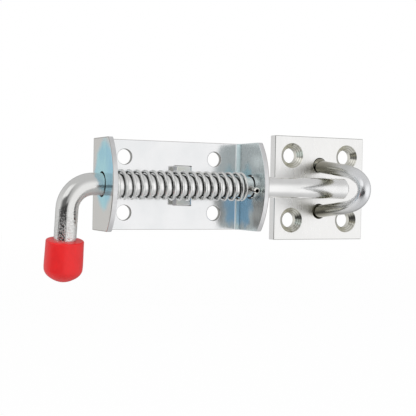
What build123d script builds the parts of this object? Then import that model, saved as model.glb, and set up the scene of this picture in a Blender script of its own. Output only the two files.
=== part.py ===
from build123d import *
import math
import os

# Spring bolt: a bent round bar slides and turns in a folded bracket, a coil spring holds it out,
# and a separate plate with a staple catches its end.
# X runs along the bolt towards the keep, Y into the surface that both plates are screwed to
# (their backs lie at Y = 0, so the front is -Y) and Z up.
# The origin is the middle of the bracket's back.

# Folded bracket
sheet = 3.0  # thickness of the sheet
bracket_length = 92.0  # over the outsides of the two ears
bracket_width = 50.0
bend_radius = 2.0  # inside of each fold
ear_corner_depth = 27.0  # from the back to the two ends of an ear's bowed edge
ear_bow = 9.0  # how far the bowed edge stands out in the middle
ear_corner_radius = 1.5
bracket_screw_hole = 8.5
bracket_screw_pitch_x = 55.0
bracket_screw_pitch_z = 31.0

# Tongue lanced out of the bracket's back, free end to the left
tongue_root_x = 13.3  # where the tongue stays joined to the sheet
tongue_length = 13.2
tongue_draw = 2.1  # how much the press draws it out, so that its end stands over the sheet again
tongue_width = 22.0
tongue_clearance = 0.6  # from its free end to the spring above it
shear_gap = 0.2

# Bolt: one bar, bent down to a handle
bolt_diameter = 12.0
bolt_height = 18.0  # from the mounting surface to the bolt's axis
bolt_overrun = 10.5  # how far the bolt's end stands past the staple's middle
bolt_chamfer = 1.5
guide_clearance = 0.8  # all round the bolt in each ear
bend_gap = 2.5  # straight bar between the left ear and the bend
handle_bend_radius = 15.5  # of the bar's axis
handle_length = 50.0  # from the bolt's axis to the bar's end
handle_lean = 9.5  # degrees that the handle hangs back, until its cap is on the surface

# Dipped cap on the handle
cap_depth = 19.7  # how far the bar goes into it
cap_rim_radius = 10.1
cap_belly_radius = 10.5
cap_end_wall = 3.0
cap_crown_radius = 13.6
cap_edge_radius = 5.0
cap_lip_round = 0.8

# Spring pin through the bolt, between the spring and the right ear
pin_diameter = 3.5
pin_wall = 0.7
pin_slot = 0.5
pin_slot_turn = 15.0  # degrees that the slot is turned down from the side
pin_chamfer = 0.35
pin_front = 13.2  # from the bolt's axis to the pin's front end
pin_back = 10.8  # and to its back end
pin_hole_clearance = 0.1
pin_ear_gap = 0.3  # between the pin and the ear that stops it

# Coil spring round the bolt
spring_wire = 1.8
spring_clearance = 0.5  # round the bolt
spring_end_gap = 0.3  # between each end and what it bears on
spring_turns = 16.5  # working turns
spring_closed_turns = 1  # turns laid close at each end
spring_closed_gap = 0.1  # between those turns

# Keep: plate and staple
keep_size = 62.0
keep_thickness = 6.0
keep_gap = 20.0  # between the bracket and the keep
keep_edge_round = 0.4
keep_screw_hole = 9.0
keep_countersink = 15.0
keep_countersink_angle = 90.0
keep_screw_pitch = 38.5
staple_bar = 7.5
staple_pitch = 27.2  # between the legs' axes at the plate's face
staple_taper = 5.85  # degrees that each leg leans towards the other
staple_reach = 47.4  # from the plate's face to the bar's axis at the nose
staple_hole_clearance = 0.9
rivet_radius = 6.25  # of each leg's upset end in the plate's back
rivet_depth = 2.0
rivet_neck = 0.5  # how much wider than the leg the upset end starts

# Places worked out from the sizes
bolt_radius = bolt_diameter / 2
ear_out = bracket_length / 2
ear_in = ear_out - sheet
keep_x = ear_out + keep_gap + keep_size / 2
pin_x = ear_in - pin_ear_gap - pin_diameter / 2
handle_x = -ear_out - bend_gap - handle_bend_radius
cap_mouth = handle_length - cap_depth  # from the bolt's axis to the cap's rim
spring_radius = bolt_radius + spring_clearance + spring_wire / 2  # of the wire's axis
spring_start = -ear_in + spring_end_gap + spring_wire / 2
spring_end = pin_x - pin_diameter / 2 - spring_end_gap - spring_wire / 2
bolt_axis = Axis((0, -bolt_height, 0), (1, 0, 0))


def rod_along(axis_start, direction, length, radius):
    """A round bar from a point along a direction."""
    plane = Plane(origin=axis_start, z_dir=direction)
    return plane * Cylinder(radius, length, align=(Align.CENTER, Align.CENTER, Align.MIN))


def turned_with_bolt(solid):
    """Turns what is modelled with a plumb handle to the handle's lean."""
    return solid.rotate(bolt_axis, handle_lean)


def make_tongue():
    """The lanced tongue: bent up about its root until its free end is just under the spring."""
    crest = bolt_height - sheet - spring_radius - spring_wire / 2 - tongue_clearance
    tilt = math.asin(crest / tongue_length)
    along = Vector(-math.cos(tilt), -math.sin(tilt))
    back = Vector(-math.sin(tilt), math.cos(tilt))
    root_front = Vector(tongue_root_x, -sheet)
    root_back = Vector(tongue_root_x, 0)
    bend_mid = root_front + Vector(-math.sin(tilt / 2), math.cos(tilt / 2)) * sheet
    bend_end = root_front + back * sheet
    tip_front = root_front + along * tongue_length
    tip_back = tip_front + back * sheet
    with BuildSketch() as profile:
        with BuildLine():
            Line(root_front, tip_front)
            Line(tip_front, tip_back)
            Line(tip_back, bend_end)
            ThreePointArc(bend_end, bend_mid, root_back)
            Line(root_back, root_front)
        make_face()
    return extrude(profile.sketch, tongue_width / 2, both=True)


def make_bracket():
    """Sheet folded to a U, with bowed ears, guide holes, screw holes and the tongue."""
    deepest = ear_corner_depth + ear_bow
    outer_radius = bend_radius + sheet
    with BuildSketch() as section:
        with BuildLine():
            outside = FilletPolyline(
                (-ear_out, -deepest), (-ear_out, 0), (ear_out, 0), (ear_out, -deepest), radius=outer_radius
            )
            inside = FilletPolyline(
                (-ear_in, -deepest), (-ear_in, -sheet), (ear_in, -sheet), (ear_in, -deepest), radius=bend_radius
            )
            Line(outside @ 0, inside @ 0)
            Line(outside @ 1, inside @ 1)
        make_face()
    folded = extrude(section.sketch, bracket_width / 2, both=True)

    half = bracket_width / 2
    with BuildSketch(Plane.YZ) as side:
        with BuildLine():
            Polyline((-ear_corner_depth, half), (0, half), (0, -half), (-ear_corner_depth, -half))
            ThreePointArc((-ear_corner_depth, -half), (-deepest, 0), (-ear_corner_depth, half))
        make_face()
        fillet(side.vertices().sort_by(Axis.X)[:2], ear_corner_radius)
    body = folded & extrude(side.sketch, ear_out + sheet, both=True)

    guide = rod_along((-ear_out - sheet, -bolt_height, 0), (1, 0, 0), bracket_length + 2 * sheet,
                      bolt_radius + guide_clearance)
    body -= guide
    for place in GridLocations(bracket_screw_pitch_x, bracket_screw_pitch_z, 2, 2):
        hole_x, hole_z = place.position.X, place.position.Y
        body -= rod_along((hole_x, sheet, hole_z), (0, -1, 0), 3 * sheet, bracket_screw_hole / 2)

    window = Box(tongue_length - tongue_draw, 3 * sheet, tongue_width + 2 * shear_gap,
                 align=(Align.MAX, Align.CENTER, Align.CENTER))
    body -= Pos(tongue_root_x, 0, 0) * window
    return body + make_tongue()


def make_bolt_rod():
    """Round bar: straight bolt, one bend, and a handle hanging from it."""
    tip = Vector(keep_x + bolt_overrun, -bolt_height, 0)
    corner = Vector(handle_x, -bolt_height, 0)
    end = corner - Vector(0, 0, handle_length)
    path = FilletPolyline(tip, corner, end, radius=handle_bend_radius)
    section = Plane(origin=tip, z_dir=path % 0) * Circle(bolt_radius)
    bar = sweep(section, path=path)
    end_faces = [bar.faces().sort_by(Axis.X)[-1], bar.faces().sort_by(Axis.Z)[0]]
    bar = chamfer([edge for face in end_faces for edge in face.edges()], bolt_chamfer)
    cross_hole = rod_along((pin_x, -bolt_height - bolt_diameter, 0), (0, 1, 0), 2 * bolt_diameter,
                           pin_diameter / 2 + pin_hole_clearance)
    return turned_with_bolt(bar - cross_hole)


def make_handle_cap():
    """Thick dipped cap: tight bore, rolled rim, slight belly and a crowned end."""
    end = handle_length + cap_end_wall
    side_end = end - cap_crown_radius + math.sqrt(cap_crown_radius**2 - cap_belly_radius**2)
    crown_mid_radius = cap_belly_radius / 2
    crown_mid = end - cap_crown_radius + math.sqrt(cap_crown_radius**2 - crown_mid_radius**2)
    with BuildSketch(Plane.XZ) as profile:
        with BuildLine():
            Polyline((cap_belly_radius, -side_end), (cap_rim_radius, -cap_mouth), (bolt_radius, -cap_mouth),
                     (bolt_radius, -handle_length), (0, -handle_length), (0, -end))
            ThreePointArc((0, -end), (crown_mid_radius, -crown_mid), (cap_belly_radius, -side_end))
        make_face()
        fillet(profile.vertices().sort_by_distance((cap_rim_radius, -cap_mouth))[0], cap_lip_round)
        fillet(profile.vertices().sort_by_distance((cap_belly_radius, -side_end))[0], cap_edge_radius)
    cap = revolve(profile.sketch, Axis.Z)
    return turned_with_bolt(Pos(handle_x, -bolt_height, 0) * cap)


def make_spring_pin():
    """Slotted spring pin: a rolled tube driven through the bolt, with one open end in front."""
    length = pin_front + pin_back
    radius = pin_diameter / 2
    front_end = (0, -pin_front, 0)
    pin = rod_along(front_end, (0, 1, 0), length, radius)
    pin = chamfer(pin.edges().filter_by(GeomType.CIRCLE), pin_chamfer)
    pin -= rod_along(front_end, (0, 1, 0), length, radius - pin_wall)
    slot = Box(pin_diameter, 2 * length, pin_slot, align=(Align.MAX, Align.CENTER, Align.CENTER))
    pin -= slot.rotate(Axis.Y, -pin_slot_turn)
    return turned_with_bolt(Pos(pin_x, -bolt_height, 0) * pin)


def make_compression_spring():
    """Coil spring between the left ear and the spring pin, with closed turns at both ends."""
    closed_pitch = spring_wire + spring_closed_gap
    closed_length = spring_closed_turns * closed_pitch
    working_start = spring_start + closed_length
    working_end = spring_end - closed_length
    working_length = working_end - working_start
    first = spring_helix(spring_start, closed_pitch, closed_length)
    working = spring_helix(working_start, working_length / spring_turns, working_length)
    working = working.rotate(bolt_axis, spring_closed_turns * 360)
    last = spring_helix(working_end, closed_pitch, closed_length)
    last = last.rotate(bolt_axis, (spring_closed_turns + spring_turns) * 360)
    path = Wire([first, working, last])
    section = Plane(origin=path @ 0, z_dir=path % 0) * Circle(spring_wire / 2)
    return sweep(section, path=path, is_frenet=True, transition=Transition.ROUND)


def spring_helix(start, pitch, length):
    """Right-hand helix of the spring's wire, starting above the bolt."""
    return Edge.make_helix(pitch, length, spring_radius, center=(start, -bolt_height, 0), normal=(1, 0, 0))


def make_keep_plate():
    """Square plate with countersunk screw holes and the two riveted holes of the staple."""
    front = -keep_thickness
    plate = Box(keep_size, keep_thickness, keep_size, align=(Align.CENTER, Align.MAX, Align.CENTER))
    plate = fillet(plate.edges(), keep_edge_round)
    sink_depth = (keep_countersink - keep_screw_hole) / 2 / math.tan(math.radians(keep_countersink_angle / 2))
    for place in GridLocations(keep_screw_pitch, keep_screw_pitch, 2, 2):
        hole_x, hole_z = place.position.X, place.position.Y
        plate -= rod_along((hole_x, front, hole_z), (0, 1, 0), keep_thickness, keep_screw_hole / 2)
        sink = Cone(keep_countersink / 2, keep_screw_hole / 2, sink_depth,
                    align=(Align.CENTER, Align.CENTER, Align.MIN))
        plate -= Plane(origin=(hole_x, front, hole_z), z_dir=(0, 1, 0)) * sink
    for side in (1, -1):
        leg_z = side * staple_leg_z(keep_thickness / 2)
        plate -= rod_along((0, front, leg_z), (0, 1, 0), keep_thickness, staple_bar / 2 + staple_hole_clearance)
        plate -= Pos(0, 0, leg_z) * rivet_cone()
    return Pos(keep_x, 0, 0) * plate


def staple_leg_z(behind_face):
    """Height of a leg's axis at a depth behind the plate's face."""
    return staple_pitch / 2 + behind_face * math.tan(math.radians(staple_taper))


def rivet_cone():
    """Upset end of a staple leg, flush with the plate's back."""
    cone = Cone(staple_bar / 2 + rivet_neck, rivet_radius, rivet_depth,
                align=(Align.CENTER, Align.CENTER, Align.MIN))
    return Plane(origin=(0, -rivet_depth, 0), z_dir=(0, 1, 0)) * cone


def make_keep_staple():
    """Bar bent to a tapered U, its legs upset behind the plate."""
    taper = math.radians(staple_taper)
    front = -keep_thickness
    nose_radius = staple_pitch / 2 * math.cos(taper) - staple_reach * math.sin(taper)
    nose_radius /= 1 - math.sin(taper)
    nose_y = front - staple_reach + nose_radius
    shoulder_y = nose_y - nose_radius * math.sin(taper)
    shoulder_z = nose_radius * math.cos(taper)
    tail_z = staple_leg_z(keep_thickness)
    with BuildLine(Plane.YZ) as path:
        Line((0, tail_z), (shoulder_y, shoulder_z))
        ThreePointArc((shoulder_y, shoulder_z), (nose_y - nose_radius, 0), (shoulder_y, -shoulder_z))
        Line((shoulder_y, -shoulder_z), (0, -tail_z))
    wire = path.wires()[0]
    section = Plane(origin=wire @ 0, z_dir=wire % 0) * Circle(staple_bar / 2)
    bar = sweep(section, path=wire)
    behind = Box(4 * staple_bar, keep_thickness, 4 * staple_pitch, align=(Align.CENTER, Align.MIN, Align.CENTER))
    bar -= behind
    for side in (1, -1):
        bar += Pos(0, 0, side * staple_leg_z(keep_thickness / 2)) * rivet_cone()
    return Pos(keep_x, 0, 0) * bar


pieces = {
    "bracket": make_bracket(),
    "bolt_rod": make_bolt_rod(),
    "handle_cap": make_handle_cap(),
    "spring_pin": make_spring_pin(),
    "compression_spring": make_compression_spring(),
    "keep_plate": make_keep_plate(),
    "keep_staple": make_keep_staple(),
}
os.makedirs("parts", exist_ok=True)
for name, solid in pieces.items():
    export_step(solid, f"parts/{name}.step")
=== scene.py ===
# %% [markdown]
# # A zinc plated spring bolt
# A round bar slides through the two ears of a folded bracket. A coil spring pushes it into a staple on a
# separate keep plate, and a red capped handle draws it back. The imported solids set every size and place.
# Here they get their finishes, and five of them are made again with what the solids lack: soft edges on
# the bracket, a tighter bend in the bolt, a longer nose on the staple, a rounder cap, and a spring wound
# again with closed ends.

# %% Load the imported solids
import math
import bpy
from mathutils import Matrix, Vector


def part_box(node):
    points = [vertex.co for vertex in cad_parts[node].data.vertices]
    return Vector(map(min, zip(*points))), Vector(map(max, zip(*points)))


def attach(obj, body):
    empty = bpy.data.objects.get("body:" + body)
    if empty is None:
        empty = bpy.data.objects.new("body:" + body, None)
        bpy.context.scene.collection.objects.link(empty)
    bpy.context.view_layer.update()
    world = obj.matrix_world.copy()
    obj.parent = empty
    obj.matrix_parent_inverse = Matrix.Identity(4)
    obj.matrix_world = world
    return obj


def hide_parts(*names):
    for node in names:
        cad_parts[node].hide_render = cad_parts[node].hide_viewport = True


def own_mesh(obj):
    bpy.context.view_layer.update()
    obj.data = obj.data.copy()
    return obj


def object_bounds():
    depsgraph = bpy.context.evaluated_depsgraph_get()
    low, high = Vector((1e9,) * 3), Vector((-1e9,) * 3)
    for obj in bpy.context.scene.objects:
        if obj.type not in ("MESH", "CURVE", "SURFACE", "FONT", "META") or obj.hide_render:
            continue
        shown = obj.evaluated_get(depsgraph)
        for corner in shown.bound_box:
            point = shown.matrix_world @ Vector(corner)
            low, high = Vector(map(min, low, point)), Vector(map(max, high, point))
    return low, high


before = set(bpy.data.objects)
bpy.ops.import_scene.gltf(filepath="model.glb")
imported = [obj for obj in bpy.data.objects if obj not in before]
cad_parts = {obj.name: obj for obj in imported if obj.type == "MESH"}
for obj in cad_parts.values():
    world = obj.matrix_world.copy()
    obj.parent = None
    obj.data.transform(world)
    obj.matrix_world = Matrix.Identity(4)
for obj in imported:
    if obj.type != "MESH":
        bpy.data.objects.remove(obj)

cad_low, cad_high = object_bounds()
MM = 0.001
print("solids:", ", ".join(sorted(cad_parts)))

# %% [markdown]
# ## Camera
# The photograph was matched with a pinhole camera: its place, the way it looks and its focal length in
# pixels of a square picture. A camera could be turned by hand until the picture fits. Here its three axes
# are built from the matched angles and put straight into its matrix, which is surer and can be repeated.

# %% Camera at the photograph's place
picture_side = 416
focal_pixels = 955.7
camera_place = Vector((-212.04, -501.01, -1.23)) * MM
camera_yaw = math.radians(25.36)
camera_pitch = math.radians(1.177)
camera_roll = math.radians(1.051)

ahead = Vector((
    math.sin(camera_yaw) * math.cos(camera_pitch),
    math.cos(camera_yaw) * math.cos(camera_pitch),
    -math.sin(camera_pitch),
))
level = Vector((math.cos(camera_yaw), -math.sin(camera_yaw), 0.0))
down = ahead.cross(level)
picture_right = level * math.cos(camera_roll) - down * math.sin(camera_roll)
picture_up = -(level * math.sin(camera_roll) + down * math.cos(camera_roll))

camera_data = bpy.data.cameras.new("photo_camera")
camera_data.lens = focal_pixels / picture_side * camera_data.sensor_width
camera_data.clip_start = 10 * MM
camera_data.clip_end = 20.0
camera = bpy.data.objects.new("photo_camera", camera_data)
bpy.context.scene.collection.objects.link(camera)
camera_axes = Matrix((picture_right, picture_up, -ahead)).transposed()
camera.matrix_world = Matrix.Translation(camera_place) @ camera_axes.to_4x4()
bpy.context.scene.camera = camera
bpy.context.scene.view_settings.view_transform = "Standard"
print("lens", round(camera_data.lens, 2), "mm")

# %% [markdown]
# ## Small helpers for node trees
# The light and every finish below are a handful of nodes. In the shader editor each node is added from a
# menu and joined by hand. In a script a few helpers do that: they add a node and feed each of its sockets
# with a number, a colour or a link.

# %% Node helpers


def feed(tree, socket, value):
    """Links a socket to another one, or sets its number or colour."""
    if isinstance(value, bpy.types.NodeSocket):
        tree.links.new(value, socket)
    else:
        socket.default_value = value


def maths(tree, operation, first, second=0.0):
    """One Math node."""
    node = tree.nodes.new("ShaderNodeMath")
    node.operation = operation
    feed(tree, node.inputs[0], first)
    feed(tree, node.inputs[1], second)
    return node.outputs["Value"]


def mixed(tree, share, first, second):
    """One colour or another by a share."""
    node = tree.nodes.new("ShaderNodeMix")
    node.data_type = "RGBA"
    feed(tree, node.inputs["Factor"], share)
    feed(tree, node.inputs["A"], first)
    feed(tree, node.inputs["B"], second)
    return node.outputs["Result"]


def rgb(red, green, blue):
    """A colour as a socket takes it."""
    return (red, green, blue, 1.0)


def pale(grey):
    """A neutral colour."""
    return rgb(grey, grey, grey)


print("a middle grey is written", pale(0.5))

# %% [markdown]
# A mask says where a colour or a polish holds: 1 is there, 0 is not. It can be painted by hand, but here
# every mask is worked out from a place or a direction. A range of values fades smoothly into a mask, and
# masks are multiplied to say both at once. Where a mask starts and ends stands in its own line, because it
# is needed only there.

# %% Mask helpers


def soft_mask(tree, value, low, high, at_low=0.0, at_high=1.0):
    """Goes smoothly from one number to another while a value goes from low to high."""
    node = tree.nodes.new("ShaderNodeMapRange")
    node.interpolation_type = "SMOOTHSTEP"
    feed(tree, node.inputs["Value"], value)
    node.inputs["From Min"].default_value = low
    node.inputs["From Max"].default_value = high
    node.inputs["To Min"].default_value = at_low
    node.inputs["To Max"].default_value = at_high
    return node.outputs["Result"]


def fade_out(tree, value, low, high):
    """A mask that is 1 up to the low value and fades to 0 at the high one."""
    return soft_mask(tree, value, low, high, at_low=1.0, at_high=0.0)


def product(tree, first, *others):
    """Masks multiplied: 1 only where all of them are."""
    for other in others:
        first = maths(tree, "MULTIPLY", first, other)
    return first


def band(tree, value, rise, fall):
    """A mask that fades in over one range of a value and out over another."""
    return product(tree, soft_mask(tree, value, *rise), fade_out(tree, value, *fall))


def away(tree, value, middle):
    """How far a value is from a middle, to either side."""
    return maths(tree, "ABSOLUTE", maths(tree, "SUBTRACT", value, middle))


def distance(tree, first, second):
    """The length that two offsets at right angles make."""
    squares = [maths(tree, "MULTIPLY", offset, offset) for offset in (first, second)]
    return maths(tree, "SQRT", maths(tree, "ADD", *squares))


print("mask helpers ready")

# %% [markdown]
# ## Light
# The photograph seems to have been taken in a white light tent. Bright zinc shows little but its
# surroundings, so the tent is made first. It could be built of white sheets and lamps. A world is lighter
# work: its colour depends on the direction alone, so a ring of wall tones and a grey roof are enough. The
# walls are white to the right and dark towards the left of the camera, as if the tent was open there.

# %% Tent walls and roof
world = bpy.data.worlds.new("light_tent")
bpy.context.scene.world = world
world.use_nodes = True
tent = world.node_tree
tent.nodes.clear()
tent_where = tent.nodes.new("ShaderNodeTexCoord")
tent_parts = tent.nodes.new("ShaderNodeSeparateXYZ")
tent.links.new(tent_where.outputs["Generated"], tent_parts.inputs["Vector"])
upright = tent_parts.outputs["Z"]
front = maths(tent, "MULTIPLY", tent_parts.outputs["Y"], -1.0)
azimuth = maths(tent, "ARCTAN2", tent_parts.outputs["X"], front)
turn = maths(tent, "ADD", maths(tent, "DIVIDE", azimuth, 2 * math.pi), 0.5)
walls = tent.nodes.new("ShaderNodeValToRGB")
tent.links.new(turn, walls.inputs["Fac"])
# degrees from straight in front, towards the right, and how bright the tent's wall is there
tent_walls = [
    (-180, 0.38), (-168, 0.56), (-155, 0.70), (-120, 0.76), (-95, 0.80), (-82, 0.45),
    (-68, 0.15), (-40, 0.15), (-28, 0.52), (-18, 0.60), (-8, 0.85), (4, 1.0),
    (55, 1.0), (85, 0.75), (115, 0.45), (140, 0.30), (180, 0.38),
]
while len(walls.color_ramp.elements) < len(tent_walls):
    walls.color_ramp.elements.new(0.5)
for element, (degrees, brightness) in zip(walls.color_ramp.elements, tent_walls):
    element.position = degrees / 360 + 0.5
    element.color = pale(brightness)
roof_above = soft_mask(tent, upright, 0.05, 0.8)
roof_below = fade_out(tent, upright, -0.95, -0.5)
roof = maths(tent, "MAXIMUM", roof_above, roof_below)
roof_tone = soft_mask(tent, upright, -0.3, 0.3, at_low=0.60, at_high=0.62)
tent_colour = mixed(tent, roof, walls.outputs["Color"], roof_tone)
print("tent walls:", len(tent_walls), "stops")

# %% [markdown]
# Two areas at the tent's left show plainly in the handle. A dark door low down draws the black band along
# the straight run, and a bright window above it draws the white streak round the bend. Each is a soft
# edged patch between two directions and two heights.

# %% Door and window of the tent


def tent_area(left, right, foot, head):
    """A patch of the tent. It fades between the two degrees or heights that each side gives."""
    rise = [math.radians(degrees) for degrees in left]
    fall = [math.radians(degrees) for degrees in right]
    return product(tent, band(tent, azimuth, rise, fall), band(tent, upright, foot, head))


door_tone = pale(0.05)
window_tone = pale(1.0)
door = tent_area(left=(-108, -98), right=(-22, -11), foot=(-0.60, -0.50), head=(-0.17, -0.09))
window = tent_area(left=(-98, -86), right=(-54, -40), foot=(0.20, 0.32), head=(0.70, 0.86))
tent_colour = mixed(tent, door, tent_colour, door_tone)
tent_colour = mixed(tent, window, tent_colour, window_tone)
print("tent nodes:", len(tent.nodes))

# %% [markdown]
# The camera itself sees plain white. So does the metal where it mirrors the part of the backdrop that the
# camera looks at. More light would whiten the backdrop too, but would also bleach the bolt, so the kind of
# ray decides instead.

# %% White backdrop


def blend(tree, share, first, second, output):
    """Shows one shader or another by a share."""
    node = tree.nodes.new("ShaderNodeMixShader")
    for source, socket in zip((share, first, second), node.inputs):
        tree.links.new(source, socket)
    tree.links.new(node.outputs["Shader"], output.inputs["Surface"])


backdrop_half = math.radians(12)
backdrop_core = 0.6 * backdrop_half
backdrop_heights = (0.1, 0.2)
lit = tent.nodes.new("ShaderNodeBackground")
tent.links.new(tent_colour, lit.inputs["Color"])
seen = tent.nodes.new("ShaderNodeBackground")
seen.inputs["Color"].default_value = pale(1.0)
ray = tent.nodes.new("ShaderNodeLightPath")
backdrop_off = away(tent, azimuth, math.pi - camera_yaw)
backdrop_wide = fade_out(tent, backdrop_off, backdrop_core, backdrop_half)
backdrop_tall = fade_out(tent, away(tent, upright, 0.0), *backdrop_heights)
mirrored = maths(tent, "MAXIMUM", ray.outputs["Is Glossy Ray"], ray.outputs["Is Transmission Ray"])
mirrored = product(tent, mirrored, backdrop_wide, backdrop_tall)
white_share = maths(tent, "MAXIMUM", ray.outputs["Is Camera Ray"], mirrored)
tent_out = tent.nodes.new("ShaderNodeOutputWorld")
blend(tent, white_share, lit.outputs["Background"], seen.outputs["Background"], tent_out)
print("backdrop", round(2 * math.degrees(backdrop_half)), "degrees wide")

# %% [markdown]
# Two square lamps lift the plastic cap to its own colour. Stronger tent walls would do that as well, but
# they would show in the zinc. The lamps are kept out of reflections, because the photograph shows no lamp
# in the metal.

# %% Lamps


def soft_lamp(name, place, size, watts):
    """A square lamp that looks at the middle of the bolt."""
    data = bpy.data.lights.new(name, "AREA")
    data.size = size
    data.energy = watts
    lamp = bpy.data.objects.new(name, data)
    lamp.visible_glossy = False
    bpy.context.scene.collection.objects.link(lamp)
    aim = -Vector(place)
    lamp.location = place
    lamp.rotation_euler = aim.to_track_quat("-Z", "Y").to_euler()
    print(name, watts, "W")


soft_lamp("tent_lamp_above", place=(0.05, -0.75, 0.55), size=0.5, watts=2.1)
soft_lamp("tent_lamp_left", place=(-0.70, -0.50, 0.25), size=0.5, watts=1.1)

# %% [markdown]
# ## Floor
# A plain pale floor lies below the bolt. A white floor under soft light turns grey in a render. So the
# camera sees almost only a white glow here, with a small share of the real floor near the middle, which
# keeps a faint shadow. Far out the glow is all, so that no horizon shows.

# %% Pale floor


def place_xyz(tree):
    """The piece's own X, Y and Z in metres."""
    where = tree.nodes.new("ShaderNodeTexCoord")
    parts = tree.nodes.new("ShaderNodeSeparateXYZ")
    tree.links.new(where.outputs["Object"], parts.inputs["Vector"])
    return parts.outputs["X"], parts.outputs["Y"], parts.outputs["Z"]


floor_drop = 22 * MM
floor_side = 6.0
glow_near = 0.97
shadow_reach = 0.15
horizon_start = 0.8
bpy.ops.object.select_all(action="DESELECT")
bpy.ops.mesh.primitive_plane_add(size=floor_side, location=(0.0, 0.0, cad_low.z - floor_drop))
floor = bpy.context.object
floor.name = "floor"
floor_paint = bpy.data.materials.new("pale_floor")
floor_paint.use_nodes = True
floor_tree = floor_paint.node_tree
floor_shader = floor_tree.nodes["Principled BSDF"]
floor_shader.inputs["Base Color"].default_value = pale(0.9)
floor_shader.inputs["Roughness"].default_value = 0.9
floor_glow = floor_tree.nodes.new("ShaderNodeEmission")
floor_glow.inputs["Color"].default_value = pale(1.0)
floor_ray = floor_tree.nodes.new("ShaderNodeLightPath")
floor_x, floor_y, floor_z = place_xyz(floor_tree)
floor_off = distance(floor_tree, floor_x, floor_y)
floor_white = soft_mask(floor_tree, floor_off, shadow_reach, horizon_start, glow_near, 1.0)
floor_share = product(floor_tree, floor_ray.outputs["Is Camera Ray"], floor_white)
floor_out = floor_tree.nodes["Material Output"]
blend(floor_tree, floor_share, floor_shader.outputs["BSDF"], floor_glow.outputs["Emission"], floor_out)
floor.data.materials.append(floor_paint)
floor.visible_glossy = False
print("floor at", round(floor.location.z / MM, 1), "mm")

# %% [markdown]
# ## Bright zinc
# Sheet, bar, wire and plate are all zinc plated, and differ in colour, in polish and in the grain that the
# metal had under the zinc. Each could have a tree of its own, but one recipe serves them all: a pale
# metal, soft clouds in its colour, and a grain that changes its polish and dents it a little.

# %% Zinc recipe
noise_span = (0.3, 0.7)  # most of the noise lies between these
cloud_span = (0.35, 0.68)


def noise(tree, size, stretch=(1.0, 1.0, 1.0), detail=2.0):
    """Noise on the piece's own metres, with blobs about as large as size."""
    where = tree.nodes.new("ShaderNodeTexCoord")
    mapping = tree.nodes.new("ShaderNodeMapping")
    mapping.inputs["Scale"].default_value = stretch
    tree.links.new(where.outputs["Object"], mapping.inputs["Vector"])
    node = tree.nodes.new("ShaderNodeTexNoise")
    node.inputs["Scale"].default_value = 1.0 / size
    node.inputs["Detail"].default_value = detail
    tree.links.new(mapping.outputs["Vector"], node.inputs["Vector"])
    return node.outputs["Fac"]


def dented(tree, shader, height, depth, strength=1.0):
    """Dents the surface by a height, on top of the dents that it has."""
    node = tree.nodes.new("ShaderNodeBump")
    node.inputs["Strength"].default_value = strength
    node.inputs["Distance"].default_value = depth
    tree.links.new(height, node.inputs["Height"])
    if shader.inputs["Normal"].is_linked:
        tree.links.new(shader.inputs["Normal"].links[0].from_socket, node.inputs["Normal"])
    tree.links.new(node.outputs["Normal"], shader.inputs["Normal"])


def zinc_finish(name, colour, cloud, cloud_size, polish, grain_size, grain_stretch, dent):
    """Zinc plated steel. Returns the material, its tree, its shader and the colour's socket."""
    material = bpy.data.materials.new(name)
    material.use_nodes = True
    tree = material.node_tree
    shader = tree.nodes["Principled BSDF"]
    shader.inputs["Metallic"].default_value = 1.0
    clouds = soft_mask(tree, noise(tree, cloud_size, detail=4.0), *cloud_span)
    tone = mixed(tree, clouds, colour, cloud)
    tree.links.new(tone, shader.inputs["Base Color"])
    grain = noise(tree, grain_size, grain_stretch, detail=5.0)
    rough = soft_mask(tree, grain, *noise_span, *polish)
    tree.links.new(rough, shader.inputs["Roughness"])
    dented(tree, shader, grain, dent)
    print(name, "roughness", polish[0], "to", polish[1])
    return material, tree, shader, tone


print("noise is used from", noise_span[0], "to", noise_span[1])

# %% [markdown]
# Places that were scuffed, ground or rubbed change the recipe a little. They are rougher or smoother than
# the rest, and a dull one is less metallic too, so that it catches light from all sides instead of
# mirroring one.

# %% Wear helpers


def rougher(tree, shader, mask, amount):
    """Adds to the roughness where a mask is 1."""
    before = shader.inputs["Roughness"].links[0].from_socket
    after = maths(tree, "ADD", before, maths(tree, "MULTIPLY", mask, amount))
    tree.links.new(after, shader.inputs["Roughness"])


def duller(tree, shader, mask, metal):
    """Makes the surface only that metallic where a mask is 1."""
    tree.links.new(soft_mask(tree, mask, 0.0, 1.0, at_low=1.0, at_high=metal), shader.inputs["Metallic"])


def dress(piece, material):
    """Gives a piece one finish."""
    piece.data.materials.clear()
    piece.data.materials.append(material)


print("wear helpers ready")

# %% [markdown]
# ## Finish of the bracket
# Rolled sheet, bright zinc. The outside of the left ear is warmer and greyer than the rest, partly its own
# tone and partly painted shade. A painted picture could hold that, but masks made from the sheet's own X, Y
# and Z stay sharp at any distance and need no unwrapping.

# %% Sheet finish
sheet_zinc, sheet_tree, sheet_shader, sheet_tone = zinc_finish(
    "sheet_zinc", colour=rgb(0.88, 0.882, 0.89), cloud=rgb(0.83, 0.84, 0.85), cloud_size=18 * MM,
    polish=(0.13, 0.19), grain_size=2.2 * MM, grain_stretch=(1.0, 1.0, 0.25), dent=0.0015 * MM,
)
warm_grey_and_shade = rgb(0.82, 0.805, 0.77)
sheet_x, sheet_y, sheet_z = place_xyz(sheet_tree)
ear_outside = fade_out(sheet_tree, sheet_x, -45.9 * MM, -45.2 * MM)
# The left ear's outside: partly its own warmer tone, partly painted shade.
sheet_tone = mixed(sheet_tree, ear_outside, sheet_tone, warm_grey_and_shade)
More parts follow.
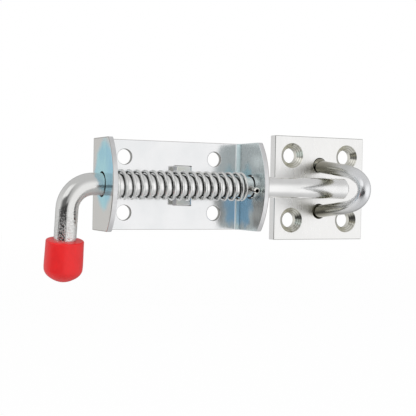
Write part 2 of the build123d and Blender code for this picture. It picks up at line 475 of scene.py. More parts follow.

# %% [markdown]
# A blue bloom lies round the guide hole of that ear. It is partly the tint that a plating bath leaves where
# it dries and partly a painted reflection. Its outline is a pointed oval: the two offsets from its middle
# are raised to a power and added. A power of 1 would make a diamond and 2 an ellipse. Noise makes the edge
# ragged, and streaks of a deeper blue run down through it. The short ends of the ear's outside are darker.

# %% Blue bloom and painted reflection on the left ear
bloom_blue = rgb(0.50, 0.89, 0.97)
bloom_deep = rgb(0.38, 0.74, 0.95)
bloom_streak = rgb(0.34, 0.68, 0.90)
end_dark = rgb(0.42, 0.38, 0.35)
bloom_middle_y = -21.5 * MM
bloom_middle_z = 5.0 * MM
bloom_half_depth = 16.5 * MM
bloom_half_height = 19.9 * MM
bloom_power = 1.5
bloom_ragged = 0.12
bloom_off_y = maths(sheet_tree, "DIVIDE", away(sheet_tree, sheet_y, bloom_middle_y), bloom_half_depth)
bloom_off_z = maths(sheet_tree, "DIVIDE", away(sheet_tree, sheet_z, bloom_middle_z), bloom_half_height)
bloom_reach = maths(
    sheet_tree, "ADD",
    maths(sheet_tree, "POWER", bloom_off_y, bloom_power),
    maths(sheet_tree, "POWER", bloom_off_z, bloom_power),
)
bloom_noise = noise(sheet_tree, 9 * MM, stretch=(1.0, 0.35, 1.0))
bloom_edge = soft_mask(sheet_tree, bloom_noise, *noise_span, -bloom_ragged, bloom_ragged)
bloom_reach = maths(sheet_tree, "ADD", bloom_reach, bloom_edge)
# The bloom is partly the plating's tint and partly a painted reflection.
bloom_and_reflection = product(sheet_tree, fade_out(sheet_tree, bloom_reach, 0.72, 1.15), ear_outside)
bloom_front = soft_mask(sheet_tree, sheet_y, -34 * MM, -20 * MM, at_low=0.8, at_high=0.0)
bloom_tone = mixed(sheet_tree, bloom_front, bloom_blue, bloom_deep)
streak_noise = noise(sheet_tree, 5 * MM, stretch=(1.0, 1.0, 0.4), detail=3.0)
bloom_streaks = soft_mask(sheet_tree, streak_noise, 0.42, 0.66, at_high=0.45)
bloom_tone = mixed(sheet_tree, bloom_streaks, bloom_tone, bloom_streak)
sheet_tone = mixed(sheet_tree, bloom_and_reflection, sheet_tone, bloom_tone)
# The short ends of the ear's outside are darker.
ear_end = soft_mask(sheet_tree, away(sheet_tree, sheet_z, 0.0), 24.3 * MM, 24.75 * MM, at_high=0.8)
sheet_tone = mixed(sheet_tree, product(sheet_tree, ear_end, ear_outside), sheet_tone, end_dark)
print("bloom_and_reflection", round(2 * bloom_half_height / MM, 1), "mm high")

# %% [markdown]
# Inside the right ear the zinc is cooler, with a grey, a blue and a pale blue patch. Each patch is a soft
# round spot, and one shared noise frays the edges of all three.

# %% Patches inside the right ear
ear_cool = rgb(0.80, 0.89, 0.90)
patch_ragged = 2.5 * MM
ear_inside_mask = soft_mask(sheet_tree, sheet_x, 41.9 * MM, 42.4 * MM)
ragged_noise = noise(sheet_tree, 8 * MM, detail=3.0)
ragged_edge = soft_mask(sheet_tree, ragged_noise, *noise_span, -patch_ragged, patch_ragged)
# middle in Y and Z, size of the full core and of the outer edge, in millimetres, and colour
ear_patches = [
    (-31, -15, 6, 15, rgb(0.48, 0.50, 0.49)),
    (-10, -12, 6, 14, rgb(0.38, 0.71, 0.99)),
    (-15, 5, 2, 8, rgb(0.52, 0.82, 0.92)),
]
sheet_tone = mixed(sheet_tree, ear_inside_mask, sheet_tone, ear_cool)
for middle_y, middle_z, core, edge, colour in ear_patches:
    patch_y = maths(sheet_tree, "SUBTRACT", sheet_y, middle_y * MM)
    patch_z = maths(sheet_tree, "SUBTRACT", sheet_z, middle_z * MM)
    patch_off = maths(sheet_tree, "ADD", distance(sheet_tree, patch_y, patch_z), ragged_edge)
    patch = fade_out(sheet_tree, patch_off, core * MM, edge * MM)
    sheet_tone = mixed(sheet_tree, product(sheet_tree, ear_inside_mask, patch), sheet_tone, colour)
print("patches in the right ear:", len(ear_patches))

# %% [markdown]
# The press leaves its own marks. The tongue is scuffed dull. Its colour is painted paler to its right, as
# the light it catches where it slopes back into the plate, and its root is painted paler still, over the
# shade of the step there. A mask in front of the back plate finds the tongue, because nothing else stands
# there so near the middle.

# %% Scuffed tongue with painted light
tongue_dull = rgb(0.92, 0.92, 0.86)
tongue_painted_pale = rgb(1.0, 1.0, 0.98)
root_painted_light = rgb(0.97, 0.97, 0.96)
tongue_front = fade_out(sheet_tree, sheet_y, -3.8 * MM, -3.2 * MM)
tongue_near = fade_out(sheet_tree, away(sheet_tree, sheet_x, 0.0), 20 * MM, 21 * MM)
tongue_scuff = product(sheet_tree, tongue_front, tongue_near)
# Painted light: the tongue is paler to its right, where it slopes back into the plate.
tongue_painted_light = soft_mask(sheet_tree, sheet_x, 3 * MM, 12 * MM)
tongue_tone = mixed(sheet_tree, tongue_painted_light, tongue_dull, tongue_painted_pale)
# Painted light over the shade of the step at the tongue's root.
tongue_root = product(
    sheet_tree,
    band(sheet_tree, sheet_x, rise=(12.4 * MM, 13.0 * MM), fall=(17.0 * MM, 18.0 * MM)),
    fade_out(sheet_tree, sheet_y, -3.2 * MM, -3.05 * MM),
)
sheet_tone = mixed(sheet_tree, tongue_scuff, sheet_tone, tongue_tone)
sheet_tone = mixed(sheet_tree, tongue_root, sheet_tone, root_painted_light)
print("sheet nodes so far:", len(sheet_tree.nodes))

# %% [markdown]
# A narrow line along the inside of each fold is made dull and painted pale: a painted highlight, which
# shows as a light line between two mirrors.
# It starts where the fold starts, and its two sides are told apart by how far they are from the ear and
# from the plate. Then the polish of all these marks is set.

# %% Painted highlight along the folds
fold_start_x = 41 * MM
fold_start_y = -5 * MM
fold_highlight_blue = rgb(0.66, 0.95, 1.0)
fold_blue_share = 0.3
fold_highlight_grey = rgb(0.70, 0.84, 0.86)
fold_side = maths(sheet_tree, "SUBTRACT", away(sheet_tree, sheet_x, 0.0), fold_start_x)
fold_back = maths(sheet_tree, "SUBTRACT", sheet_y, fold_start_y)
fold_depth = maths(sheet_tree, "MAXIMUM", fold_side, fold_back)
fold_line = product(
    sheet_tree,
    soft_mask(sheet_tree, fold_side, 0.4 * MM, 1.0 * MM),
    soft_mask(sheet_tree, fold_back, -1.2 * MM, 0.1 * MM),
    fade_out(sheet_tree, fold_depth, 2.1 * MM, 2.4 * MM),
)
# Painted highlight along the inside of each fold, bluer by the ear and greyer by the plate.
fold_by_plate = fade_out(sheet_tree, fold_side, 1.0 * MM, 1.5 * MM)
fold_by_ear = mixed(sheet_tree, fold_blue_share, sheet_tone, fold_highlight_blue)
fold_highlight_tone = mixed(sheet_tree, fold_by_plate, fold_by_ear, fold_highlight_grey)
sheet_tone = mixed(sheet_tree, fold_line, sheet_tone, fold_highlight_tone)
sheet_tree.links.new(sheet_tone, sheet_shader.inputs["Base Color"])
rougher(sheet_tree, sheet_shader, tongue_scuff, amount=0.30)
rougher(sheet_tree, sheet_shader, fold_line, amount=0.35)
rougher(sheet_tree, sheet_shader, ear_inside_mask, amount=0.10)
sheet_dull = maths(sheet_tree, "MAXIMUM", tongue_scuff, tongue_root)
sheet_dull = maths(sheet_tree, "MAXIMUM", fold_line, sheet_dull)
duller(sheet_tree, sheet_shader, sheet_dull, metal=0.35)
print("sheet finish:", len(sheet_tree.nodes), "nodes")

# %% [markdown]
# ## Sheared edges
# Where the press cut the sheet, along the ears, in the holes and round the tongue, the metal is duller and
# has fine lines across its thickness. The cut faces within the back plate, its holes among them, are
# painted darker as shade, the guide holes are painted black as the shade in the gap round the bolt, and the
# cut faces along the ears' outsides and the plate's top and bottom are darker. It is a second material,
# because the grain runs another way than on the faces.

# %% Sheared edge finish
bolt_height = 18 * MM
sheared_zinc, sheared_tree, sheared_shader, sheared_tone = zinc_finish(
    "sheared_zinc", colour=rgb(0.83, 0.83, 0.84), cloud=rgb(0.76, 0.76, 0.77), cloud_size=5 * MM,
    polish=(0.32, 0.45), grain_size=0.7 * MM, grain_stretch=(0.3, 1.0, 1.0), dent=0.004 * MM,
)
hole_painted_shade = rgb(0.42, 0.42, 0.40)
guide_painted_shade = pale(0.05)
lip_dark = rgb(0.40, 0.37, 0.34)
lip_share = 0.8
sheared_x, sheared_y, sheared_z = place_xyz(sheared_tree)
# Cut faces within the back plate, the holes among them, are painted darker as shade.
sheared_deep = soft_mask(sheared_tree, sheared_y, -3.2 * MM, -2.9 * MM)
sheared_tone = mixed(sheared_tree, sheared_deep, sheared_tone, hole_painted_shade)
# The guide holes' walls are painted black as the shade in the gap round the bolt.
guide_off = distance(sheared_tree, maths(sheared_tree, "ADD", sheared_y, bolt_height), sheared_z)
guide_wall = fade_out(sheared_tree, guide_off, 7.4 * MM, 7.8 * MM)
sheared_tone = mixed(sheared_tree, guide_wall, sheared_tone, guide_painted_shade)
# Cut faces along the ears' outsides and the plate's top and bottom are darker.
plate_lip = product(
    sheared_tree,
    soft_mask(sheared_tree, away(sheared_tree, sheared_z, 0.0), 24.3 * MM, 24.6 * MM),
    soft_mask(sheared_tree, sheared_y, -5.0 * MM, -4.5 * MM),
)
ear_lip = soft_mask(sheared_tree, away(sheared_tree, sheared_x, 0.0), 45.35 * MM, 45.75 * MM)
lip_darker = product(sheared_tree, maths(sheared_tree, "MAXIMUM", plate_lip, ear_lip), lip_share)
sheared_tone = mixed(sheared_tree, lip_darker, sheared_tone, lip_dark)
sheared_tree.links.new(sheared_tone, sheared_shader.inputs["Base Color"])
print("sheared finish:", len(sheared_tree.nodes), "nodes")

# %% [markdown]
# ## Bracket with softened edges
# Pressed sheet has no sharp edges, and the narrow bright lines along the ears come from that. The bracket
# could be modelled again, but its solid is right but for its edges. So it is copied, its loose triangles
# are merged, flat areas are dissolved to whole faces, and a bevel rounds every sharp edge. The Weighted
# Normal modifier then lets the large faces decide the shading, so that they mirror as flat as they are.

# %% Copies of the solids
merge_reach = 0.002 * MM
flat_angle = math.radians(0.5)
crease_angle = math.radians(35)
edge_segments = 3


def only(piece):
    """Selects one object and makes it the active one."""
    bpy.ops.object.select_all(action="DESELECT")
    piece.select_set(True)
    bpy.context.view_layer.objects.active = piece


def edit_all():
    """Opens the active mesh for editing, with all of it selected."""
    bpy.ops.object.mode_set(mode="EDIT")
    bpy.ops.mesh.select_all(action="SELECT")


def merged_copy(node_name, piece_name):
    """A copy of a loaded solid, with its loose triangles merged."""
    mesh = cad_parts[node_name].data.copy()
    piece = bpy.data.objects.new(piece_name, mesh)
    bpy.context.scene.collection.objects.link(piece)
    only(piece)
    bpy.ops.mesh.customdata_custom_splitnormals_clear()
    edit_all()
    bpy.ops.mesh.remove_doubles(threshold=merge_reach)
    bpy.ops.object.mode_set(mode="OBJECT")
    print(piece_name, "corners:", len(mesh.vertices))
    return piece


def softened_copy(node_name, piece_name, edge_width):
    """A merged copy of a loaded solid, with its sharp edges rounded."""
    piece = merged_copy(node_name, piece_name)
    edit_all()
    bpy.ops.mesh.dissolve_limited(angle_limit=flat_angle)
    bpy.ops.object.mode_set(mode="OBJECT")
    bpy.ops.object.modifier_add(type="BEVEL")
    bevel = piece.modifiers[-1]
    bevel.width = edge_width
    bevel.segments = edge_segments
    bevel.limit_method = "ANGLE"
    bevel.angle_limit = crease_angle
    bevel.use_clamp_overlap = False
    bevel.miter_outer = "MITER_ARC"
    bpy.ops.object.modifier_apply(modifier=bevel.name)
    bpy.ops.object.shade_smooth_by_angle(angle=crease_angle)
    bpy.ops.object.modifier_add(type="WEIGHTED_NORMAL")
    flatter = piece.modifiers[-1]
    flatter.mode = "FACE_AREA"
    flatter.weight = 100
    flatter.keep_sharp = True
    bpy.ops.object.modifier_apply(modifier=flatter.name)
    return piece


print("edges are rounded in", edge_segments, "steps")

# %% [markdown]
# The faces that were cut are found by where a face lies and which way it looks. On an ear the cut runs
# round the outline, so a cut face looks along the sheet, not across it. On the plate it is any face that
# doesn't look straight out. They could be picked by hand too, but a rule can be run again on a new solid.

# %% Bracket piece
sheet_thickness = 3 * MM
plate_front = -1.02 * sheet_thickness  # a hair in front of the plate's face
ear_inside = 43 * MM
fold_reach = 5 * MM
bracket_edge = 0.35 * MM
side_on = 0.5
straight_out = 0.95
tongue_end = 0.6


def is_sheared(centre, normal):
    """True on the cut edges of the sheet and in its holes."""
    if abs(centre.x) > ear_inside and centre.y < -fold_reach:
        return abs(normal.x) < side_on
    if abs(centre.x) > ear_inside - fold_reach:
        return abs(normal.z) > side_on
    if centre.y > plate_front:
        return abs(normal.y) < straight_out
    return abs(normal.z) > side_on or normal.x < -tongue_end


bracket_sheet = softened_copy("bracket", "bracket_sheet", bracket_edge)
dress(bracket_sheet, sheet_zinc)
bracket_sheet.data.materials.append(sheared_zinc)
for face in bracket_sheet.data.polygons:
    if is_sheared(face.center, face.normal):
        face.material_index = 1
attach(bracket_sheet, "frame")
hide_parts("bracket")
print("bracket faces:", len(bracket_sheet.data.polygons))

# %% [markdown]
# ## Bolt
# Drawn bar with a grain and small dents. The handle is greyer from use. The inside of the bend was scuffed
# by the bender, so it is dull. It could be a material of its own, with a hard edge. A mask by the distance
# from the point about which the bar was bent fades out as a scuff does.

# %% Bar finish
bar_zinc, bar_tree, bar_shader, bar_tone = zinc_finish(
    "bar_zinc", colour=rgb(0.94, 0.94, 0.935), cloud=rgb(0.89, 0.89, 0.885), cloud_size=9 * MM,
    polish=(0.13, 0.22), grain_size=1.1 * MM, grain_stretch=(1.0, 1.0, 1.0), dent=0.02 * MM,
)
used_grey = rgb(0.76, 0.76, 0.745)
scuffed_grey = rgb(0.74, 0.73, 0.71)
bend_middle_x = -50.6 * MM
bend_middle_z = -13.2 * MM
bar_x, bar_y, bar_z = place_xyz(bar_tree)
bend_off = distance(
    bar_tree,
    maths(bar_tree, "SUBTRACT", bar_x, bend_middle_x),
    maths(bar_tree, "SUBTRACT", bar_z, bend_middle_z),
)
bend_inside = fade_out(bar_tree, bend_off, 8.6 * MM, 12.0 * MM)
bar_handled = soft_mask(bar_tree, bar_x, -52 * MM, -40 * MM, at_low=0.8, at_high=0.0)
bar_tone = mixed(bar_tree, bar_handled, bar_tone, used_grey)
bar_tone = mixed(bar_tree, bend_inside, bar_tone, scuffed_grey)
bar_tree.links.new(bar_tone, bar_shader.inputs["Base Color"])
bolt_tip = soft_mask(bar_tree, bar_x, 70 * MM, 90 * MM)
handle_grip = fade_out(bar_tree, bar_x, -56 * MM, -46 * MM)
rougher(bar_tree, bar_shader, bend_inside, amount=0.35)
rougher(bar_tree, bar_shader, bolt_tip, amount=0.08)
rougher(bar_tree, bar_shader, handle_grip, amount=-0.05)
duller(bar_tree, bar_shader, bend_inside, metal=0.45)
print("bar finish:", len(bar_tree.nodes), "nodes")

# %% [markdown]
# The lower part of the handle is pitted. Real dents would need a very fine mesh for marks of less than a
# millimetre, so a second Bump node is laid over the grain's own one, and fades out towards the bend.

# %% Pits in the handle
pit_size = 0.75 * MM
pit_depth = 0.09 * MM
handle_low = fade_out(bar_tree, bar_z, -26 * MM, -8 * MM)
handle_pits = soft_mask(bar_tree, noise(bar_tree, pit_size), 0.50, 0.64)
dented(bar_tree, bar_shader, product(bar_tree, handle_pits, handle_low), pit_depth)
print("pits", round(pit_size / MM, 2), "mm wide")

# %% [markdown]
# The bar was bent round a smaller former than the solid shows. It could be swept again along a new line,
# but its chamfers and cross hole are right in the solid. So a copy is bent tighter: every corner of the
# bend keeps its angle and moves towards the point where the bar's and the handle's axes cross. The two
# straight runs grow by the same length, and the bar stays as thick as it was.

# %% Bolt piece
handle_lean = math.radians(9.5)
solid_bend = 15.5 * MM
tight_bend = 13.4 * MM
touch = 0.01 * MM
cap_low, cap_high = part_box("handle_cap")
handle_x = (cap_low.x + cap_high.x) / 2
handle_top = Vector((handle_x, -bolt_height, 0.0))
handle_down = Vector((0.0, math.sin(handle_lean), -math.cos(handle_lean)))
towards_handle = Vector((-1.0, 0.0, 0.0))
bend_centre = handle_top + (handle_down - towards_handle) * solid_bend
tighter = solid_bend - tight_bend
bent_bolt = merged_copy("bolt_rod", "bent_bolt")
bent_corners = 0
for corner in bent_bolt.data.vertices:
    off = corner.co - bend_centre
    outward = off.dot(towards_handle)
    upward = -off.dot(handle_down)
    if outward < -touch or upward < -touch:
        continue
    in_plane = towards_handle * outward - handle_down * upward
    corner.co += (towards_handle - handle_down - in_plane.normalized()) * tighter
    bent_corners += 1
bpy.ops.object.shade_smooth_by_angle(angle=crease_angle)
dress(bent_bolt, bar_zinc)
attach(bent_bolt, "bolt")
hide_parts("bolt_rod")
print("corners in the bend:", bent_corners)

# %% [markdown]
# ## Staple
# The same kind of bar. Its nose is rougher, and brighter and slightly blue, partly the zinc's own tinge and
# partly a painted highlight. Towards the plate it is painted darker and browner as shade, and darkest, as
# painted shade, on the inside of the legs. Where the inside is follows from the legs' own taper: a place
# nearer to the middle than the axis of its leg lies inside. No face has to be picked for that.

# %% Staple finish
staple_zinc, staple_tree, staple_shader, staple_tone = zinc_finish(
    "staple_zinc", colour=rgb(0.84, 0.84, 0.83), cloud=rgb(0.72, 0.73, 0.72), cloud_size=8 * MM,
    polish=(0.09, 0.17), grain_size=1.4 * MM, grain_stretch=(1.0, 0.3, 1.0), dent=0.008 * MM,
)
root_painted_shade = rgb(0.30, 0.285, 0.22)
leg_shade = rgb(0.26, 0.25, 0.17)
tinge_and_highlight_white = rgb(0.95, 0.96, 0.985)
staple_hang = 0.4 * MM
leg_at_wall = 14.2 * MM
leg_taper = 0.1  # how much nearer the legs come for each length along them
staple_x, staple_y, staple_z = place_xyz(staple_tree)
# Painted shade: darker and browner towards the plate.
staple_root_shade = soft_mask(staple_tree, staple_y, -42 * MM, -14 * MM, at_high=0.9)
staple_tone = mixed(staple_tree, staple_root_shade, staple_tone, root_painted_shade)
leg_axis_z = maths(staple_tree, "ADD", maths(staple_tree, "MULTIPLY", staple_y, leg_taper), leg_at_wall)
leg_side = maths(staple_tree, "SUBTRACT", away(staple_tree, staple_z, -staple_hang), leg_axis_z)
# Painted shade on the inside of the legs.
leg_inside = product(
    staple_tree,
    soft_mask(staple_tree, leg_side, -2.0 * MM, 1.5 * MM, at_low=0.6, at_high=0.0),
    soft_mask(staple_tree, staple_y, -36 * MM, -26 * MM),
)
staple_tone = mixed(staple_tree, leg_inside, staple_tone, leg_shade)
# Brighter, slightly blue nose: partly the zinc's own tinge, partly a painted highlight.
nose_tinge_and_highlight = soft_mask(staple_tree, staple_y, -52 * MM, -38 * MM, at_low=0.8, at_high=0.0)
staple_tone = mixed(staple_tree, nose_tinge_and_highlight, staple_tone, tinge_and_highlight_white)
staple_tree.links.new(staple_tone, staple_shader.inputs["Base Color"])
nose_worn = fade_out(staple_tree, staple_y, -50 * MM, -40 * MM)
rougher(staple_tree, staple_shader, nose_worn, amount=0.13)
print("staple finish:", len(staple_tree.nodes), "nodes")

# %% [markdown]
# A round bar bent to a U. Both ends were upset behind the plate like rivets, which also swelled the legs
# to fill their holes. The bender left a long, drawn out nose that hangs a little. The solid's nose is a
# plain arc, and pulling its corners about would thin the bar, so it is made again along a line of points.
# Each point has a place, a handle that gives the line's direction, and the bar's radius there.

# %% Line of the staple
staple_low, staple_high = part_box("keep_staple")
plate_low, plate_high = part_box("keep_plate")
keep_middle_x = (plate_low.x + plate_high.x) / 2
staple_radius = 3.75 * MM
leg_root_z = 13.6 * MM
leg_shoulder_z = 11.0 * MM
leg_out_y = -5.8 * MM
rivet_z = 13.9 * MM
rivet_radius = 6.25 * MM
rivet_depth = 2.0 * MM
hole_fill = 4.45 * MM
fill_depth = 5.1 * MM
nose_depth = 22 * MM
rivet_handle = 0.4 * MM
root_handle = 0.3 * MM
round_share = 0.5523  # a handle of this share makes a quarter of a circle
nose_y = staple_low.y + staple_radius
shoulder_y = nose_y + nose_depth
leg_run = Vector((0.0, shoulder_y - plate_low.y, leg_shoulder_z - leg_root_z)).normalized()


def leg_points(side):
    """One leg from the plate's back to the shoulder: place, handle and radius of each point."""
    lean = Vector((0.0, leg_run.y, side * leg_run.z))
    back = Vector((0.0, -rivet_handle, 0.0))
    root_z = side * leg_root_z - staple_hang
    shoulder_z = side * leg_shoulder_z - staple_hang
    return [
        (Vector((keep_middle_x, 0.0, side * rivet_z)), back, rivet_radius),
        (Vector((keep_middle_x, -rivet_depth, side * rivet_z)), back, hole_fill),
        (Vector((keep_middle_x, -fill_depth, side * rivet_z)), 0.5 * back, hole_fill),
        (Vector((keep_middle_x, leg_out_y, root_z)), root_handle * lean, staple_radius),
        (Vector((keep_middle_x, shoulder_y, shoulder_z)), round_share * nose_depth * lean, staple_radius),
    ]


nose_point = (
    Vector((keep_middle_x, nose_y, -staple_hang)),
    Vector((0.0, 0.0, -round_share * leg_shoulder_z)),
    staple_radius,
)
lower_leg = [(place, -handle, radius) for place, handle, radius in reversed(leg_points(-1))]
staple_points = leg_points(1) + [nose_point] + lower_leg
print("points on the staple's line:", len(staple_points))

# %% [markdown]
# A Bezier curve takes these points, with two handles to each, and a round bevel gives it its thickness. A
# mesh bent by hand would need many rings of corners for so even a bend. The curve's own radius at its
# points makes the rivet heads and the swelling. It is then made a mesh and its doubles are merged.

# %% Staple piece
staple_round_steps = 14
staple_bend_steps = 20
staple_crease = math.radians(30)
bpy.ops.object.select_all(action="DESELECT")
bpy.ops.curve.primitive_bezier_curve_add(location=(0.0, 0.0, 0.0))
bent_staple = bpy.context.object
bent_staple.name = "bent_staple"
bent_staple.data.bevel_depth = staple_radius
bent_staple.data.bevel_resolution = staple_round_steps
bent_staple.data.resolution_u = staple_bend_steps
bent_staple.data.use_fill_caps = True
bar_line = bent_staple.data.splines[0]
bar_line.bezier_points.add(len(staple_points) - len(bar_line.bezier_points))
for point, (place, handle, radius) in zip(bar_line.bezier_points, staple_points):
    point.handle_left_type = "FREE"
    point.handle_right_type = "FREE"
    point.co = place
    point.handle_left = place - handle
    point.handle_right = place + handle
    point.radius = radius / staple_radius
bpy.ops.object.convert(target="MESH")
edit_all()
bpy.ops.mesh.remove_doubles(threshold=merge_reach)
bpy.ops.mesh.normals_make_consistent(inside=False)
bpy.ops.object.mode_set(mode="OBJECT")
bpy.ops.object.shade_smooth_by_angle(angle=staple_crease)
dress(bent_staple, staple_zinc)
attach(bent_staple, "frame")
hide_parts("keep_staple")
print("staple faces:", len(bent_staple.data.polygons))

# %% [markdown]
# ## Spring pin
# A slotted tube driven through the bolt. The solid has its true shape, so it stays and only gets a finish.
# The bore is painted black as shade, and the cut end in front is pale and dull. Both are told by the
# distance from the pin's own axis, which leans as the handle does.

# %% Pin finish
pin_zinc, pin_tree, pin_shader, pin_tone = zinc_finish(
    "pin_zinc", colour=rgb(0.74, 0.73, 0.71), cloud=rgb(0.58, 0.57, 0.54), cloud_size=3 * MM,
    polish=(0.2, 0.35), grain_size=0.6 * MM, grain_stretch=(1.0, 1.0, 1.0), dent=0.008 * MM,
)
bore_painted_shade = pale(0.02)
cut_pale = rgb(0.86, 0.85, 0.80)
pin_low, pin_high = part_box("spring_pin")
pin_x, pin_y, pin_z = place_xyz(pin_tree)
pin_off_x = maths(pin_tree, "SUBTRACT", pin_x, (pin_low.x + pin_high.x) / 2)
pin_off_z = maths(
    pin_tree, "SUBTRACT",
    maths(pin_tree, "MULTIPLY", pin_z, math.cos(handle_lean)),
    maths(pin_tree, "MULTIPLY", maths(pin_tree, "ADD", pin_y, bolt_height), math.sin(handle_lean)),
)
pin_off = distance(pin_tree, pin_off_x, pin_off_z)
pin_bore = fade_out(pin_tree, pin_off, 1.06 * MM, 1.2 * MM)
# The bore is painted black as shade.
pin_tone = mixed(pin_tree, pin_bore, pin_tone, bore_painted_shade)
pin_front = fade_out(pin_tree, pin_y, pin_low.y + 0.7 * MM, pin_low.y + 1.1 * MM)
pin_end = product(pin_tree, pin_front, maths(pin_tree, "SUBTRACT", 1.0, pin_bore))
pin_tone = mixed(pin_tree, pin_end, pin_tone, cut_pale)
pin_tree.links.new(pin_tone, pin_shader.inputs["Base Color"])
duller(pin_tree, pin_shader, pin_end, metal=0.3)
dress(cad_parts["spring_pin"], pin_zinc)
print("pin finish:", len(pin_tree.nodes), "nodes")

# %% [markdown]
# ## Keep plate
# Thick plate, ground flat before plating, so its polish is softer and its grain runs in one direction.
# This solid stays as well. The countersinks are smoother and shinier and carry the rings that the cutter
# left. Their darker tones are partly a machined finish and partly painted shade, and a thin line round the
# rim is painted darker as the shade of its rounded edge. The four holes lie alike about the middle, so one
# distance serves them all: it is worked out from the offsets without their signs.

# %% Keep finish
keep_zinc, keep_tree, keep_shader, keep_tone = zinc_finish(
    "keep_zinc", colour=rgb(0.93, 0.925, 0.915), cloud=rgb(0.905, 0.90, 0.89), cloud_size=20 * MM,
    polish=(0.27, 0.33), grain_size=0.8 * MM, grain_stretch=(1.0, 1.0, 0.12), dent=0.0008 * MM,
)
sink_bright = rgb(0.82, 0.81, 0.74)
sink_groove = rgb(0.54, 0.53, 0.47)
rim_painted_shade = rgb(0.45, 0.45, 0.43)
keep_hole_off = 19.25 * MM
sink_ring_pitch = 0.95 * MM
keep_x, keep_y, keep_z = place_xyz(keep_tree)
keep_side = away(keep_tree, keep_x, keep_middle_x)
keep_rise = away(keep_tree, keep_z, 0.0)
hole_off = distance(
    keep_tree,
    maths(keep_tree, "SUBTRACT", keep_side, keep_hole_off),
    maths(keep_tree, "SUBTRACT", keep_rise, keep_hole_off),
)
sink = product(
    keep_tree,
    fade_out(keep_tree, hole_off, 7.5 * MM, 7.7 * MM),
    soft_mask(keep_tree, keep_y, plate_low.y + 0.02 * MM, plate_low.y + 0.1 * MM),
)
sink_turns = maths(keep_tree, "MULTIPLY", hole_off, 2 * math.pi / sink_ring_pitch)
sink_rings = soft_mask(keep_tree, maths(keep_tree, "SINE", sink_turns), 0.1, 0.9)
# The countersinks' darker tones are partly a machined finish and partly painted shade.
sink_tone_and_shade = mixed(keep_tree, sink_rings, sink_bright, sink_groove)
keep_tone = mixed(keep_tree, sink, keep_tone, sink_tone_and_shade)
# A thin line round the rim is painted darker: painted shade of its rounded edge.
keep_rim_shade = product(
    keep_tree,
    soft_mask(keep_tree, maths(keep_tree, "MAXIMUM", keep_side, keep_rise), 30.6 * MM, 30.75 * MM),
    fade_out(keep_tree, keep_y, plate_low.y + 0.3 * MM, plate_low.y + 0.4 * MM),
)
keep_tone = mixed(keep_tree, keep_rim_shade, keep_tone, rim_painted_shade)
keep_tree.links.new(keep_tone, keep_shader.inputs["Base Color"])
rougher(keep_tree, keep_shader, sink, amount=-0.10)
dress(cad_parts["keep_plate"], keep_zinc)
print("keep finish:", len(keep_tree.nodes), "nodes")

# %% [markdown]
# ## Red cap
# Soft plastic dipped on the handle: one strong red, slightly uneven, with a satin gloss and a faint orange
# peel. It isn't metal, so the zinc recipe would be no help, and it has its own short one.

# %% Cap finish
cap_bright = rgb(0.86, 0.012, 0.014)
cap_deep = rgb(0.80, 0.010, 0.012)
cap_polish = (0.31, 0.37)
peel_size = 1.2 * MM
peel_depth = 0.006 * MM
cap_red = bpy.data.materials.new("cap_red")
cap_red.use_nodes = True
cap_tree = cap_red.node_tree
cap_shader = cap_tree.nodes["Principled BSDF"]
cap_clouds = soft_mask(cap_tree, noise(cap_tree, 6 * MM, detail=3.0), *noise_span)
cap_tone = mixed(cap_tree, cap_clouds, cap_bright, cap_deep)
cap_tree.links.new(cap_tone, cap_shader.inputs["Base Color"])
cap_peel = noise(cap_tree, peel_size)
cap_rough = soft_mask(cap_tree, cap_peel, *noise_span, *cap_polish)
cap_tree.links.new(cap_rough, cap_shader.inputs["Roughness"])
dented(cap_tree, cap_shader, cap_peel, peel_depth, strength=0.2)
print("cap finish:", len(cap_tree.nodes), "nodes")

# %% [markdown]
# Dipping leaves a rounder drop than the solid has. A copy is drawn in towards its tip: a corner comes
# nearer to the handle's axis the closer it is to the tip. Proportional editing does the same by hand. In
# code the bore for the bar can be left out of it, so that it stays as it is.

# %% Cap piece
bar_radius = 6 * MM
bore_margin = 0.1 * MM
draw_in = 0.14
draw_height = 8.5 * MM
draw_power = 1.3
end_wall = 2.5 * MM
cap_crease = math.radians(50)
dipped_cap = merged_copy("handle_cap", "dipped_cap")
cap_tip = max((corner.co - handle_top).dot(handle_down) for corner in dipped_cap.data.vertices)
for corner in dipped_cap.data.vertices:
    along = (corner.co - handle_top).dot(handle_down)
    foot = handle_top + handle_down * along
    out = corner.co - foot
    to_tip = cap_tip - along
    on_outside = out.length > bar_radius + bore_margin or to_tip < end_wall
    if on_outside and to_tip < draw_height:
        nearness = 1 - max(to_tip, 0.0) / draw_height
        corner.co = foot + out * (1 - draw_in * nearness ** draw_power)
bpy.ops.object.shade_smooth_by_angle(angle=cap_crease)
dress(dipped_cap, cap_red)
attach(dipped_cap, "bolt")
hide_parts("handle_cap")
print("cap tip", round(cap_tip / MM, 1), "mm from the bolt's axis")

# %% [markdown]
# ## Coil spring
# Round wire wound on a rod. A curve could follow the coil, but a ring of wire with the Screw modifier
# winds it as the spring maker does: so many turns over so much length, all even. The ring stands on the
# bolt's axis at the left end of the spring and is moved out to the coil's radius before it is wound.

# %% Spring piece
wire_radius = 0.9 * MM
wire_sides = 14
steps_per_turn = 40
working_turns = 16.5
closed_turns = 1
spring_turns = working_turns + 2 * closed_turns
spring_low, spring_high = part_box("compression_spring")
spring_radius = (spring_high.z - spring_low.z) / 2 - wire_radius
wire_start = spring_low.x + wire_radius
wire_end = spring_high.x - wire_radius
wire_length = wire_end - wire_start

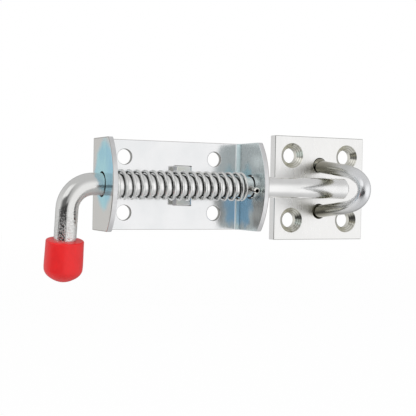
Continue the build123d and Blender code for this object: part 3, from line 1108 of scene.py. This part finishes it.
bpy.ops.object.select_all(action="DESELECT")
bpy.ops.mesh.primitive_circle_add(
    vertices=wire_sides, radius=wire_radius,
    location=(wire_start, -bolt_height, 0.0), rotation=(math.pi / 2, 0.0, 0.0),
)
coil_spring = bpy.context.object
coil_spring.name = "coil_spring"
edit_all()
bpy.ops.transform.translate(value=(0.0, 0.0, spring_radius))
bpy.ops.object.mode_set(mode="OBJECT")
bpy.ops.object.transform_apply(location=False, rotation=True, scale=True)
bpy.ops.object.modifier_add(type="SCREW")
winding = coil_spring.modifiers[-1]
winding.axis = "X"
winding.angle = spring_turns * 2 * math.pi
winding.screw_offset = wire_length
winding.steps = round(spring_turns * steps_per_turn)
winding.render_steps = winding.steps
bpy.ops.object.modifier_apply(modifier=winding.name)
bpy.ops.object.transform_apply(location=True, rotation=False, scale=False)
print("spring corners:", len(coil_spring.data.vertices))

# %% [markdown]
# A spring maker closes the ends: the first and the last turn lie close, and the turns between share the
# rest of the length. The Screw modifier can't change its pitch on the way, so every ring of corners along
# the wire is moved from its even place to its real one. Then both ends of the wire are filled.

# %% Close the spring's ends
closed_pitch = 1.9 * MM
wire_crease = math.radians(40)
even_pitch = wire_length / spring_turns
working_pitch = (wire_length - 2 * closed_turns * closed_pitch) / working_turns


def along_wire(turns):
    """How far along the bolt the wire has come after so many turns."""
    first = min(turns, closed_turns) * closed_pitch
    middle = min(max(turns - closed_turns, 0.0), working_turns) * working_pitch
    last = max(turns - closed_turns - working_turns, 0.0) * closed_pitch
    return first + middle + last


for number, corner in enumerate(coil_spring.data.vertices):
    turns = number // wire_sides / steps_per_turn
    corner.co.x += along_wire(turns) - turns * even_pitch

edit_all()
bpy.ops.mesh.fill_holes(sides=wire_sides)
bpy.ops.mesh.select_all(action="SELECT")
bpy.ops.mesh.normals_make_consistent(inside=False)
bpy.ops.object.mode_set(mode="OBJECT")
bpy.ops.object.shade_smooth_by_angle(angle=wire_crease)
print("working pitch", round(working_pitch / MM, 2), "mm")

# %% [markdown]
# The wire is the brightest zinc of all. Its inside, towards the bolt, is painted dark as shade, which the
# bar mirrors. That is what sets each turn off from the bar behind it. The spring is attached to the slider.

# %% Spring finish and ride
spring_zinc, spring_tree, spring_shader, spring_tone = zinc_finish(
    "spring_zinc", colour=rgb(0.90, 0.90, 0.89), cloud=rgb(0.78, 0.79, 0.78), cloud_size=6 * MM,
    polish=(0.06, 0.12), grain_size=1.0 * MM, grain_stretch=(0.4, 1.0, 1.0), dent=0.004 * MM,
)
inner_painted_shade = rgb(0.08, 0.085, 0.08)
inner_from = spring_radius - 0.5 * MM
inner_to = spring_radius - 0.05 * MM
spring_x, spring_y, spring_z = place_xyz(spring_tree)
spring_off = distance(spring_tree, maths(spring_tree, "ADD", spring_y, bolt_height), spring_z)
# Painted shade on the inside of the wire, towards the bolt.
spring_inner_shade = fade_out(spring_tree, spring_off, inner_from, inner_to)
spring_tone = mixed(spring_tree, spring_inner_shade, spring_tone, inner_painted_shade)
spring_tree.links.new(spring_tone, spring_shader.inputs["Base Color"])
dress(coil_spring, spring_zinc)
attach(coil_spring, "slider")
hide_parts("compression_spring")
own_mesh(coil_spring)
